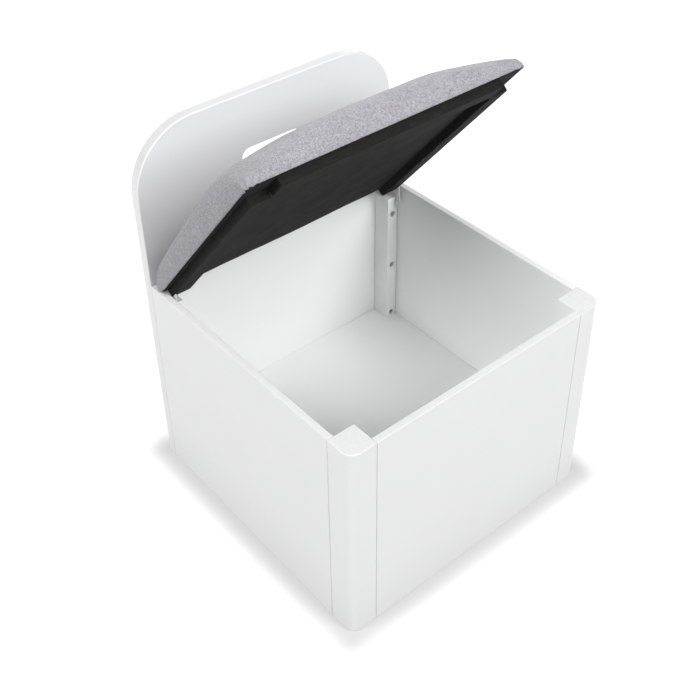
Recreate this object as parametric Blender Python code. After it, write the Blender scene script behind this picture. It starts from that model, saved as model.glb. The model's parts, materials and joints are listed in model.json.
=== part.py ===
"""Wooden toy box: a panelled box with a high back, a handle slot and a hinged padded lid.

Units are metres and +Z is up. The origin is on the floor, under the middle of the box.
The front is at -Y and the high back at +Y. The lid is modelled shut, under an empty that
lies on its pivots, and that empty is turned to open the lid.
"""
from math import asin, atan2, cos, exp, hypot, pi, radians, sin, tau

import bmesh
import bpy

# ---------------------------------------------------------------- driving dimensions

GAP = 0.0003                # clearance between touching pieces
RUNNING_FIT = 0.0001        # radial clearance of the arms' eyes on the pins
OVERRUN = 0.001             # how far a cutter runs past the faces that it opens
OVERLAP = 0.002             # how far a joined-on shape enters its piece

WIDTH = 0.400               # outside, along X
DEPTH = 0.400               # outside, along Y, back panel included
RIM_HEIGHT = 0.300          # top of the side and front panels
PANEL = 0.009               # thickness of the side and front panels
PANEL_SOFTENING = 0.0008    # rounding of panel and post edges

BACK_HEIGHT = 0.514
BACK_THICKNESS = 0.015
BACK_CORNER = 0.086         # radius of the two top corners
BACK_SOFTENING = 0.0015
HANDLE_WIDTH = 0.096
HANDLE_HEIGHT = 0.025
HANDLE_TOP = 0.4365
HANDLE_ROUNDING = 0.0124    # the slot's ends, almost half round

POST = 0.0375               # front posts, square
POST_ROUNDING = 0.015       # outer corner of a front post
REAR_POST_WIDTH = 0.018
REAR_POST_DEPTH = 0.028
REAR_POST_TOP = 0.2815

TONGUE = 0.003              # tongue along a panel's end, held in the post's groove
TONGUE_LENGTH = 0.006
TONGUE_INSET = 0.0018       # from the panel's outer face
TONGUE_STOP = 0.010         # the tongue and its groove end this far below the rim
TONGUE_FOOT = 0.001         # height of the tongue's lower end

FLOOR_TOP = 0.067
FLOOR_THICKNESS = 0.006
FLOOR_TONGUE = 0.0036       # depth that the floor's edge enters the panels

BOLT_HEIGHTS = (0.074, 0.164, 0.254)
BOLT_SHANK_RADIUS = 0.003
BOLT_HEAD_RADIUS = 0.0042
BOLT_HEAD_LENGTH = 0.0045
BOLT_RECESS = 0.002         # head below the post's face
BOLT_EDGE = 0.0005          # broken edge of head and tip
HEAD_CLEARANCE = 0.0004     # around the head in its counterbore
BOLT_TIP = 0.196            # Y of the bolt's end
SOCKET_FLATS = 0.004
SOCKET_DEPTH = 0.0025
INSERT_RADIUS = 0.005
INSERT_END = 0.197          # Y of the insert nut's end

PIVOT_Y = 0.1508
PIVOT_Z = 0.274
LID_OPEN = radians(50.5)

LID_BOTTOM = RIM_HEIGHT + GAP            # underside of the folded hem, on the rim
HEM = 0.0010                             # thickness of the cushion cover
BOARD_BOTTOM = LID_BOTTOM + HEM + GAP
BOARD_THICKNESS = 0.009
BOARD_CORNER = 0.0185
CUSHION_HALF_WIDTH = 0.200               # hem line of the cushion
CUSHION_FRONT = -0.1965
CUSHION_REAR = 0.140
CUSHION_CORNER = 0.017                   # corner radius at the hem
CUSHION_FIRM = 0.0125                    # height up to the board's top, the same all round
CORNER_DROP = 0.80                       # share of the height above it lost at a front corner
CORNER_DROP_X = 0.063                    # how far that loss reaches along the front
CORNER_DROP_Y = 0.038                    # and along the sides
REAR_DROP = 0.17                         # share of the height lost at the rear edge
REAR_DROP_START = -0.080                 # Y where that loss begins
CORNER_PER_INSET = 0.45                  # corner radius gained as the cushion's top draws in
CORNER_PER_HEIGHT = 0.15                 # and as it rises
HEM_FOLD = 0.0085                        # width folded under the board, sides and front
HEM_FOLD_CORNER = 0.003
RAIL_HALF_SPAN = 0.1871                  # outer face of the lid's side rails
RAIL_WIDTH = 0.0256
RAIL_BOTTOM = 0.291
RAIL_FRONT = -0.1874                     # outer face of the front rail
RAIL_REAR = 0.1375
SIDE_RAIL_START = -0.159                 # the side rails stop behind the front posts
FRONT_RAIL_HALF_LENGTH = 0.1595
CLOTH = 0.0007

ARM_THICKNESS = 0.0015
ARM_START = 0.097
ARM_EYE_RADIUS = 0.0048
ARM_KNEE = 0.127                         # Y where the neck to the eye leaves the rail
ARM_NECK = 0.0036                        # half the width of the neck
ARM_LOWER_MARGIN = 0.0006                # between the arm's edges and the rail's
ARM_UPPER_MARGIN = 0.0012
PIN_RADIUS = 0.0025
PIN_HEAD_RADIUS = 0.0038
PIN_HEAD_LENGTH = 0.0012
PIN_HEAD_EDGE = 0.0004
PIN_END = 0.1963                         # X of the pin's end, inside the side panel
WASHER_RADIUS = 0.0055
ARM_SCREW_POSITIONS = (0.104, 0.119)
ARM_SCREW_HEIGHT = 0.2957
SCREW_RADIUS = 0.0015
SCREW_HEAD_RADIUS = 0.003
SCREW_HEAD_LENGTH = 0.0006
SCREW_DEPTH = 0.014
SCREW_TIP_LENGTH = 0.003
SCREW_TIP_RADIUS = 0.0003

ROUND_SIDES = 24
LEFT, RIGHT = -1, 1

# How far the cushion stands out from its hem line at each height above the hem:
# height, at the sides, at the front, at the rear.
CUSHION_PROFILE = (
    (0.0000, 0.0000, 0.0000, 0.0000),
    (0.0080, 0.0018, 0.0020, 0.0034),
    (0.0180, 0.0025, 0.0030, 0.0058),
    (0.0270, 0.0008, 0.0010, -0.0022),
    (0.0340, -0.0045, -0.0045, -0.0130),
    (0.0400, -0.0150, -0.0150, -0.0250),
    (0.0450, -0.0340, -0.0340, -0.0450),
    (0.0480, -0.0700, -0.0700, -0.0800),
    (0.0490, -0.1050, -0.1050, -0.1100),
)

# ---------------------------------------------------------------- helpers


def clear_scene():
    for thing in list(bpy.data.objects):
        bpy.data.objects.remove(thing, do_unlink=True)


def make_material(name, colour, roughness, metallic=0.0):
    finish = bpy.data.materials.new(name)
    finish.use_nodes = True
    shader = finish.node_tree.nodes["Principled BSDF"]
    shader.inputs["Base Color"].default_value = (*colour, 1.0)
    shader.inputs["Roughness"].default_value = roughness
    shader.inputs["Metallic"].default_value = metallic
    return finish


def arc(centre_a, centre_b, radius, start, end, steps):
    """Points of an arc, both ends included."""
    turns = [start + (end - start) * i / steps for i in range(steps + 1)]
    return [(centre_a + radius * cos(t), centre_b + radius * sin(t)) for t in turns]


def rounded_rectangle(low_a, high_a, low_b, high_b, radius, steps=6):
    return (
        arc(high_a - radius, low_b + radius, radius, -pi / 2, 0, steps)
        + arc(high_a - radius, high_b - radius, radius, 0, pi / 2, steps)
        + arc(low_a + radius, high_b - radius, radius, pi / 2, pi, steps)
        + arc(low_a + radius, low_b + radius, radius, pi, 3 * pi / 2, steps)
    )


def on_axis(axis, a, b, along):
    """A point from its two outline coordinates and its place along the extrusion axis."""
    if axis == "X":
        return along, a, b
    if axis == "Y":
        return a, along, b
    return a, b, along


def finish_mesh(name, bm, smooth_angle=None):
    bmesh.ops.recalc_face_normals(bm, faces=bm.faces[:])
    if bm.calc_volume(signed=True) < 0:
        bmesh.ops.reverse_faces(bm, faces=bm.faces[:])
    mesh = bpy.data.meshes.new(name)
    bm.to_mesh(mesh)
    bm.free()
    if smooth_angle:
        mesh.shade_smooth()
        mesh.set_sharp_from_angle(angle=smooth_angle)
    return mesh


def prism(name, outline, low, high, axis="Z", smooth_angle=None):
    """A closed outline extruded along an axis."""
    bm = bmesh.new()
    face = bm.faces.new([bm.verts.new(on_axis(axis, a, b, low)) for a, b in outline])
    extruded = bmesh.ops.extrude_face_region(bm, geom=[face])
    moved = [item for item in extruded["geom"] if isinstance(item, bmesh.types.BMVert)]
    bmesh.ops.translate(bm, verts=moved, vec=on_axis(axis, 0.0, 0.0, high - low))
    return finish_mesh(name, bm, smooth_angle)


def block(name, low, high):
    outline = [(low[0], low[1]), (high[0], low[1]), (high[0], high[1]), (low[0], high[1])]
    return prism(name, outline, low[2], high[2])


def loft(name, rings, smooth_angle=None, capped_start=True):
    """Rings of equal point count joined into a skin, with a cap over the last ring."""
    bm = bmesh.new()
    loops = [[bm.verts.new(point) for point in ring] for ring in rings]
    count = len(loops[0])
    for lower, upper in zip(loops, loops[1:]):
        for i in range(count):
            j = (i + 1) % count
            bm.faces.new((lower[i], lower[j], upper[j], upper[i]))
    if capped_start:
        bm.faces.new(list(reversed(loops[0])))
    bm.faces.new(loops[-1])
    return finish_mesh(name, bm, smooth_angle)


def turned(name, axis, centre, profile, sides=ROUND_SIDES):
    """A solid turned about a line along axis; profile is (place along the axis, radius)."""
    rings = []
    for along, radius in profile:
        circle = arc(centre[0], centre[1], radius, 0, tau * (sides - 1) / sides, sides - 1)
        rings.append([on_axis(axis, a, b, along) for a, b in circle])
    return loft(name, rings, smooth_angle=radians(40))


def add_object(name, mesh, finish, parent=None):
    """Link a mesh as a named piece. Pieces of the lid hang from the empty on its pivots."""
    piece = bpy.data.objects.new(name, mesh)
    bpy.context.scene.collection.objects.link(piece)
    mesh.materials.append(finish)
    if parent:
        piece.parent = parent
        piece.location = (-parent.location[0], -parent.location[1], -parent.location[2])
    return piece


def soften(piece, width, segments=2):
    bevel = piece.modifiers.new("softened edges", "BEVEL")
    bevel.width = width
    bevel.segments = segments
    bevel.limit_method = "ANGLE"
    bevel.angle_limit = radians(35)


def combine(piece, mesh, operation="DIFFERENCE"):
    """Cut a mesh out of a piece, or join it on, by a Boolean with a hidden helper object."""
    helper = bpy.data.objects.new("helper." + mesh.name, mesh)
    bpy.context.scene.collection.objects.link(helper)
    helper.hide_render = True
    helper.display_type = "WIRE"
    if piece.parent:
        helper.parent = piece.parent
        helper.location = piece.location
    modifier = piece.modifiers.new(operation.lower() + " " + mesh.name, "BOOLEAN")
    modifier.operation = operation
    modifier.solver = "EXACT"
    modifier.object = helper


def side_name(side):
    return "left" if side == LEFT else "right"


def spread(side, inner, outer):
    """Low and high X of something that lies between two distances from the middle."""
    return min(side * inner, side * outer), max(side * inner, side * outer)


# ---------------------------------------------------------------- the box

INNER_HALF_WIDTH = WIDTH / 2 - PANEL
FRONT = -DEPTH / 2
FRONT_INNER = FRONT + PANEL
BACK_FACE = DEPTH / 2 - BACK_THICKNESS
POST_FACE = BACK_FACE - GAP - REAR_POST_DEPTH
BOLT_OFFSET = INNER_HALF_WIDTH - GAP - REAR_POST_WIDTH / 2
FLOOR_BOTTOM = FLOOR_TOP - FLOOR_THICKNESS


def cut_floor_groove(piece, low, high):
    """The groove that holds the floor's edge; low and high are its X and Y limits."""
    groove = block(
        piece.name + ".floor_groove",
        (low[0], low[1], FLOOR_BOTTOM - GAP),
        (high[0], high[1], FLOOR_TOP + GAP),
    )
    combine(piece, groove)


def make_back_panel(finish):
    half = WIDTH / 2
    shoulder = BACK_HEIGHT - BACK_CORNER
    outline = [(-half, 0.0), (half, 0.0)]
    outline += arc(half - BACK_CORNER, shoulder, BACK_CORNER, 0, pi / 2, 14)
    outline += arc(BACK_CORNER - half, shoulder, BACK_CORNER, pi / 2, pi, 14)
    mesh = prism("back_panel", outline, BACK_FACE, DEPTH / 2, "Y", radians(30))
    panel = add_object("back_panel", mesh, finish)
    slot_outline = rounded_rectangle(
        -HANDLE_WIDTH / 2, HANDLE_WIDTH / 2,
        HANDLE_TOP - HANDLE_HEIGHT, HANDLE_TOP,
        HANDLE_ROUNDING,
    )
    slot = prism("handle_slot", slot_outline, BACK_FACE - OVERRUN, DEPTH / 2 + OVERRUN, "Y")
    combine(panel, slot)
    soften(panel, BACK_SOFTENING, 3)
    reach = INNER_HALF_WIDTH + GAP
    groove_floor = BACK_FACE + FLOOR_TONGUE + GAP
    cut_floor_groove(panel, (-reach, BACK_FACE - OVERRUN), (reach, groove_floor))
    radius = INSERT_RADIUS + GAP
    profile = ((BACK_FACE - OVERRUN, radius), (INSERT_END + GAP, radius))
    for side in (LEFT, RIGHT):
        for row, height in enumerate(BOLT_HEIGHTS, 1):
            name = f"insert_hole_{side_name(side)}_{row}"
            combine(panel, turned(name, "Y", (side * BOLT_OFFSET, height), profile))


def make_side_panel(side, finish):
    name = side_name(side) + "_side_panel"
    start = FRONT + POST + GAP
    low_x, high_x = spread(side, INNER_HALF_WIDTH, WIDTH / 2)
    mesh = block(name, (low_x, start, 0.0), (high_x, BACK_FACE - GAP, RIM_HEIGHT))
    panel = add_object(name, mesh, finish)
    soften(panel, PANEL_SOFTENING)
    outer = WIDTH / 2 - TONGUE_INSET
    low_x, high_x = spread(side, outer - TONGUE, outer)
    tongue = block(
        name + ".tongue",
        (low_x, start - GAP - TONGUE_LENGTH, TONGUE_FOOT),
        (high_x, start + OVERLAP, RIM_HEIGHT - TONGUE_STOP),
    )
    combine(panel, tongue, "UNION")
    inner = INNER_HALF_WIDTH - OVERRUN
    low_x, high_x = spread(side, inner, INNER_HALF_WIDTH + FLOOR_TONGUE + GAP)
    cut_floor_groove(panel, (low_x, start - OVERRUN), (high_x, BACK_FACE + OVERRUN))
    radius = PIN_RADIUS + GAP
    profile = ((side * inner, radius), (side * (PIN_END + GAP), radius))
    combine(panel, turned(name + ".pin_hole", "X", (PIVOT_Y, PIVOT_Z), profile))


def make_front_panel(finish):
    half = WIDTH / 2 - POST - GAP
    mesh = block("front_panel", (-half, FRONT, 0.0), (half, FRONT_INNER, RIM_HEIGHT))
    panel = add_object("front_panel", mesh, finish)
    soften(panel, PANEL_SOFTENING)
    for side in (LEFT, RIGHT):
        low_x, high_x = spread(side, half - OVERLAP, half + GAP + TONGUE_LENGTH)
        tongue = block(
            "front_panel.tongue_" + side_name(side),
            (low_x, FRONT + TONGUE_INSET, TONGUE_FOOT),
            (high_x, FRONT + TONGUE_INSET + TONGUE, RIM_HEIGHT - TONGUE_STOP),
        )
        combine(panel, tongue, "UNION")
    reach = half + OVERRUN
    groove_floor = FRONT_INNER - FLOOR_TONGUE - GAP
    cut_floor_groove(panel, (-reach, groove_floor), (reach, FRONT_INNER + OVERRUN))


def make_front_post(side, finish):
    """A square post with one rounded corner and a groove for each panel's tongue."""
    name = f"front_{side_name(side)}_post"
    inner = WIDTH / 2 - POST
    corner = side * (WIDTH / 2 - POST_ROUNDING)
    back = FRONT + POST
    quarter = side * pi / 2
    rounding = arc(corner, FRONT + POST_ROUNDING, POST_ROUNDING, -pi / 2, quarter - pi / 2, 8)
    outline = [(side * inner, FRONT)] + rounding + [(side * WIDTH / 2, back), (side * inner, back)]
    post = add_object(name, prism(name, outline, 0.0, RIM_HEIGHT, "Z", radians(30)), finish)
    soften(post, PANEL_SOFTENING)
    groove_length = TONGUE_LENGTH + 2 * GAP
    top = RIM_HEIGHT - TONGUE_STOP + GAP
    face = WIDTH / 2 - TONGUE_INSET
    low_x, high_x = spread(side, face - TONGUE - GAP, face + GAP)
    low = (low_x, back - groove_length, -OVERRUN)
    combine(post, block(name + ".side_groove", low, (high_x, back + OVERRUN, top)))
    low_x, high_x = spread(side, inner - OVERRUN, inner + groove_length)
    low_y = FRONT + TONGUE_INSET - GAP
    high = (high_x, low_y + TONGUE + 2 * GAP, top)
    combine(post, block(name + ".front_groove", (low_x, low_y, -OVERRUN), high))


def make_floor_panel(finish):
    """The floor runs into grooves on all four sides and is notched around the posts."""
    reach_x = INNER_HALF_WIDTH + FLOOR_TONGUE
    front = FRONT_INNER - FLOOR_TONGUE
    back = BACK_FACE + FLOOR_TONGUE
    post_x = WIDTH / 2 - POST - GAP
    post_y = FRONT + POST + GAP
    rear_x = INNER_HALF_WIDTH - REAR_POST_WIDTH - 2 * GAP
    rear_y = POST_FACE - GAP
    right_half = [
        (post_x, front), (post_x, post_y), (reach_x, post_y),
        (reach_x, rear_y), (rear_x, rear_y), (rear_x, back),
    ]
    outline = right_half + [(-x, y) for x, y in reversed(right_half)]
    add_object("floor_panel", prism("floor_panel", outline, FLOOR_BOTTOM, FLOOR_TOP), finish)


def make_rear_post(side, finish):
    name = f"rear_{side_name(side)}_post"
    outer = INNER_HALF_WIDTH - GAP
    low_x, high_x = spread(side, outer - REAR_POST_WIDTH, outer)
    mesh = block(name, (low_x, POST_FACE, 0.0), (high_x, BACK_FACE - GAP, REAR_POST_TOP))
    post = add_object(name, mesh, finish)
    soften(post, PANEL_SOFTENING)
    seat = POST_FACE + BOLT_RECESS + BOLT_HEAD_LENGTH + GAP
    profile = (
        (POST_FACE - OVERRUN, BOLT_HEAD_RADIUS + HEAD_CLEARANCE),
        (seat, BOLT_HEAD_RADIUS + HEAD_CLEARANCE),
        (seat, BOLT_SHANK_RADIUS + GAP),
        (BACK_FACE + OVERRUN, BOLT_SHANK_RADIUS + GAP),
    )
    for row, height in enumerate(BOLT_HEIGHTS, 1):
        hole = turned(f"{name}.bolt_hole_{row}", "Y", (side * BOLT_OFFSET, height), profile)
        combine(post, hole)


def make_post_bolts(side, finish):
    head = POST_FACE + BOLT_RECESS
    seat = head + BOLT_HEAD_LENGTH
    socket_radius = SOCKET_FLATS / 2 / cos(pi / 6)
    profile = (
        (head, BOLT_HEAD_RADIUS - BOLT_EDGE),
        (head + BOLT_EDGE, BOLT_HEAD_RADIUS),
        (seat, BOLT_HEAD_RADIUS),
        (seat, BOLT_SHANK_RADIUS),
        (BOLT_TIP - BOLT_EDGE, BOLT_SHANK_RADIUS),
        (BOLT_TIP, BOLT_SHANK_RADIUS - BOLT_EDGE),
    )
    socket = ((head - OVERRUN, socket_radius), (head + SOCKET_DEPTH, socket_radius))
    for row, height in enumerate(BOLT_HEIGHTS, 1):
        name = f"post_bolt_{side_name(side)}_{row}"
        centre = (side * BOLT_OFFSET, height)
        bolt = add_object(name, turned(name, "Y", centre, profile), finish)
        combine(bolt, turned(name + ".socket", "Y", centre, socket, sides=6))


def make_insert_nuts(side, finish):
    """Threaded inserts in the back panel, open at both ends."""
    start = BACK_FACE + GAP
    radius = BOLT_SHANK_RADIUS + GAP
    profile = ((start, INSERT_RADIUS), (INSERT_END, INSERT_RADIUS))
    bore = ((start - OVERRUN, radius), (INSERT_END + OVERRUN, radius))
    for row, height in enumerate(BOLT_HEIGHTS, 1):
        name = f"insert_nut_{side_name(side)}_{row}"
        centre = (side * BOLT_OFFSET, height)
        nut = add_object(name, turned(name, "Y", centre, profile), finish)
        combine(nut, turned(name + ".bore", "Y", centre, bore))


# ---------------------------------------------------------------- the lid, modelled shut

RAIL_INNER = RAIL_HALF_SPAN - RAIL_WIDTH
RAIL_TOP = BOARD_BOTTOM - GAP
FRONT_RAIL_INNER = RAIL_FRONT + RAIL_WIDTH
ARM_INNER = RAIL_HALF_SPAN - ARM_THICKNESS         # the arm lies flush in the rail's outer face


def make_lid_axis():
    axis = bpy.data.objects.new("lid_axis", None)
    bpy.context.scene.collection.objects.link(axis)
    axis.location = (0.0, PIVOT_Y, PIVOT_Z)
    axis.rotation_euler = (-LID_OPEN, 0.0, 0.0)
    return axis


def make_lid_board(axis, finish):
    margin = HEM + GAP
    half = CUSHION_HALF_WIDTH - margin
    outline = rounded_rectangle(
        -half, half, CUSHION_FRONT + margin, CUSHION_REAR - margin - GAP, BOARD_CORNER,
    )
    top = BOARD_BOTTOM + BOARD_THICKNESS
    mesh = prism("lid_board", outline, BOARD_BOTTOM, top, "Z", radians(30))
    add_object("lid_board", mesh, finish, axis)


def cushion_height(height, x, y):
    """Height of a point of the cushion, which sinks at its front corners and to the rear."""
    if height <= CUSHION_FIRM:
        return height
    from_side = max(CUSHION_HALF_WIDTH - abs(x), 0.0)
    from_front = max(y - CUSHION_FRONT, 0.0)
    reach = (from_side / CORNER_DROP_X) ** 1.5 + (from_front / CORNER_DROP_Y) ** 1.5
    back = (y - REAR_DROP_START) / (CUSHION_REAR - REAR_DROP_START)
    back = min(max(back, 0.0), 1.0)
    drop = CORNER_DROP * exp(-reach) + REAR_DROP * back * back * (3.0 - 2.0 * back)
    return CUSHION_FIRM + (height - CUSHION_FIRM) * (1.0 - drop)


def cushion_ring(height, side, front, rear, shrink=0.0):
    """One level of the cushion; shrink pulls it in and down by the same distance."""
    half = CUSHION_HALF_WIDTH + side - shrink
    low_y = CUSHION_FRONT - front + shrink
    high_y = CUSHION_REAR + rear - shrink
    corner = CUSHION_CORNER + max(0.0, -side) * CORNER_PER_INSET + height * CORNER_PER_HEIGHT
    outline = rounded_rectangle(-half, half, low_y, high_y, corner)
    return [(x, y, LID_BOTTOM + cushion_height(height, x, y) - shrink) for x, y in outline]


def make_lid_cover(axis, finish):
    """A cup of cloth over foam and board, its hem folded under the board."""
    fold_half = CUSHION_HALF_WIDTH - HEM_FOLD
    fold_front = CUSHION_FRONT + HEM_FOLD
    fold_rear = CUSHION_REAR - HEM - GAP
    fold = rounded_rectangle(-fold_half, fold_half, fold_front, fold_rear, HEM_FOLD_CORNER)
    rings = [[(x, y, LID_BOTTOM) for x, y in fold]]
    rings += [cushion_ring(*level) for level in CUSHION_PROFILE]
    mesh = loft("lid_cover", rings, radians(50), capped_start=False)
    cover = add_object("lid_cover", mesh, finish, axis)
    thickness = cover.modifiers.new("cloth thickness", "SOLIDIFY")
    thickness.thickness = HEM
    thickness.offset = -1.0
    thickness.use_even_offset = True


def make_lid_foam(axis, finish):
    bottom = BOARD_BOTTOM + BOARD_THICKNESS + GAP - LID_BOTTOM
    shrink = HEM + 3 * GAP
    levels = [level for level in CUSHION_PROFILE if level[0] > bottom + shrink]
    base = (bottom + shrink, *CUSHION_PROFILE[1][1:])
    rings = [cushion_ring(*level, shrink=shrink) for level in [base] + levels]
    add_object("lid_foam", loft("lid_foam", rings, radians(50)), finish, axis)


def make_side_rail(side, axis, finish):
    name = f"lid_{side_name(side)}_rail"
    low_x, high_x = spread(side, RAIL_INNER, RAIL_HALF_SPAN)
    mesh = block(name, (low_x, SIDE_RAIL_START, RAIL_BOTTOM), (high_x, RAIL_REAR, RAIL_TOP))
    rail = add_object(name, mesh, finish, axis)
    low_x, high_x = spread(side, ARM_INNER - GAP, RAIL_HALF_SPAN + OVERRUN)
    low = (low_x, ARM_START - GAP, RAIL_BOTTOM - OVERRUN)
    high = (high_x, RAIL_REAR + OVERRUN, RAIL_TOP + OVERRUN)
    combine(rail, block(name + ".rebate", low, high))
    low_x, high_x = spread(side, RAIL_HALF_SPAN - SCREW_DEPTH - GAP, RAIL_HALF_SPAN + OVERRUN)
    radius = SCREW_RADIUS + GAP
    for number, place in enumerate(ARM_SCREW_POSITIONS, 1):
        centre = (place, ARM_SCREW_HEIGHT)
        hole = turned(f"{name}.hole_{number}", "X", centre, ((low_x, radius), (high_x, radius)))
        combine(rail, hole)


def make_front_rail(axis, finish):
    half = FRONT_RAIL_HALF_LENGTH
    low = (-half, RAIL_FRONT, RAIL_BOTTOM)
    high = (half, FRONT_RAIL_INNER, RAIL_TOP)
    add_object("lid_front_rail", block("lid_front_rail", low, high), finish, axis)


def dust_cloth_fills(x, y, z):
    """True where the cloth is: under the rails, up their inner faces and between them."""
    x = abs(x)
    low = z < RAIL_BOTTOM - GAP
    high = z > RAIL_TOP - CLOTH
    beside_posts = y > SIDE_RAIL_START
    inner_edge = RAIL_INNER - GAP - CLOTH
    wall_front = FRONT_RAIL_INNER + GAP
    wall_back = wall_front + CLOTH
    if x > inner_edge:
        on_wall = x < inner_edge + CLOTH
        return beside_posts and (low or on_wall)
    if y > wall_back:
        return high
    if x > FRONT_RAIL_HALF_LENGTH:
        return False
    return low or y > wall_front


def make_dust_cover(axis, finish):
    """The cloth's solid, built on a grid whose lines run along its folds."""
    inner_edge = RAIL_INNER - GAP - CLOTH
    half_x = [FRONT_RAIL_HALF_LENGTH, inner_edge, inner_edge + CLOTH, ARM_INNER - GAP]
    wall_front = FRONT_RAIL_INNER + GAP
    xs = [-x for x in reversed(half_x)] + half_x
    ys = [RAIL_FRONT, wall_front, wall_front + CLOTH, SIDE_RAIL_START, RAIL_REAR]
    zs = [RAIL_BOTTOM - GAP - CLOTH, RAIL_BOTTOM - GAP, RAIL_TOP - CLOTH, RAIL_TOP]
    cells = set()
    for i in range(len(xs) - 1):
        for j in range(len(ys) - 1):
            for k in range(len(zs) - 1):
                middle = [(line[n] + line[n + 1]) / 2 for line, n in ((xs, i), (ys, j), (zs, k))]
                if dust_cloth_fills(*middle):
                    cells.add((i, j, k))
    bm = bmesh.new()
    corners = {}

    def corner(i, j, k):
        if (i, j, k) not in corners:
            corners[i, j, k] = bm.verts.new((xs[i], ys[j], zs[k]))
        return corners[i, j, k]

    for cell in cells:
        for direction in range(3):
            for step in (0, 1):
                neighbour = list(cell)
                neighbour[direction] += 2 * step - 1
                if tuple(neighbour) in cells:
                    continue
                first, second = [d for d in range(3) if d != direction]
                loop = []
                for a, b in ((0, 0), (1, 0), (1, 1), (0, 1)):
                    index = list(cell)
                    index[direction] += step
                    index[first] += a
                    index[second] += b
                    loop.append(corner(*index))
                bm.faces.new(loop)
    add_object("lid_dust_cover", finish_mesh("lid_dust_cover", bm), finish, axis)


def make_hinge_arm(side, axis, finish):
    """A flat steel arm let into the rail's outer face, down and back to its eye on the pin."""
    name = "hinge_arm_" + side_name(side)
    low_z = RAIL_BOTTOM + ARM_LOWER_MARGIN
    high_z = RAIL_TOP - ARM_UPPER_MARGIN
    rise = ARM_SCREW_HEIGHT - PIVOT_Z
    length = hypot(ARM_KNEE - PIVOT_Y, rise)
    along = ((ARM_KNEE - PIVOT_Y) / length, rise / length)
    lower_side = (PIVOT_Y - along[1] * ARM_NECK, PIVOT_Z + along[0] * ARM_NECK)
    upper_side = (PIVOT_Y + along[1] * ARM_NECK, PIVOT_Z - along[0] * ARM_NECK)
    heading = atan2(along[1], along[0])
    join = asin(ARM_NECK / ARM_EYE_RADIUS)
    eye = arc(PIVOT_Y, PIVOT_Z, ARM_EYE_RADIUS, heading + join, heading + tau - join, 18)
    outline = [
        (ARM_START, low_z),
        (lower_side[0] + along[0] * (low_z - lower_side[1]) / along[1], low_z),
        *eye,
        (upper_side[0] + along[0] * (high_z - upper_side[1]) / along[1], high_z),
        (ARM_START, high_z),
    ]
    low_x, high_x = spread(side, ARM_INNER, ARM_INNER + ARM_THICKNESS)
    arm = add_object(name, prism(name, outline, low_x, high_x, "X"), finish, axis)
    holes = [(PIVOT_Y, PIVOT_Z, PIN_RADIUS + RUNNING_FIT)]
    holes += [(place, ARM_SCREW_HEIGHT, SCREW_RADIUS + GAP) for place in ARM_SCREW_POSITIONS]
    for number, (y, z, radius) in enumerate(holes):
        profile = ((low_x - OVERRUN, radius), (high_x + OVERRUN, radius))
        combine(arm, turned(f"{name}.hole_{number}", "X", (y, z), profile))


def make_arm_screws(side, axis, finish):
    head = ARM_INNER + ARM_THICKNESS + GAP
    tip = RAIL_HALF_SPAN - SCREW_DEPTH
    profile = (
        (side * (head + SCREW_HEAD_LENGTH), SCREW_HEAD_RADIUS),
        (side * head, SCREW_HEAD_RADIUS),
        (side * head, SCREW_RADIUS),
        (side * (tip + SCREW_TIP_LENGTH), SCREW_RADIUS),
        (side * tip, SCREW_TIP_RADIUS),
    )
    for number, place in enumerate(ARM_SCREW_POSITIONS, 1):
        name = f"arm_screw_{side_name(side)}_{number}"
        mesh = turned(name, "X", (place, ARM_SCREW_HEIGHT), profile, sides=16)
        add_object(name, mesh, finish, axis)


def make_hinge_pin(side, finish):
    """A headed pin in the side panel, which the arm's eye turns on."""
    name = "hinge_pin_" + side_name(side)
    head = ARM_INNER - GAP
    profile = (
        (side * (head - PIN_HEAD_LENGTH), PIN_HEAD_RADIUS - PIN_HEAD_EDGE),
        (side * (head - PIN_HEAD_LENGTH + PIN_HEAD_EDGE), PIN_HEAD_RADIUS),
        (side * head, PIN_HEAD_RADIUS),
        (side * head, PIN_RADIUS),
        (side * PIN_END, PIN_RADIUS),
    )
    add_object(name, turned(name, "X", (PIVOT_Y, PIVOT_Z), profile), finish)


def make_hinge_washer(side, finish):
    """A thick friction washer between the arm and the side panel."""
    name = "hinge_washer_" + side_name(side)
    outer = INNER_HALF_WIDTH - GAP
    inner = ARM_INNER + ARM_THICKNESS + GAP
    profile = ((side * inner, WASHER_RADIUS), (side * outer, WASHER_RADIUS))
    washer = add_object(name, turned(name, "X", (PIVOT_Y, PIVOT_Z), profile), finish)
    radius = PIN_RADIUS + GAP
    bore = ((side * (inner - OVERRUN), radius), (side * (outer + OVERRUN), radius))
    combine(washer, turned(name + ".bore", "X", (PIVOT_Y, PIVOT_Z), bore))


# ---------------------------------------------------------------- assembly


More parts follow.
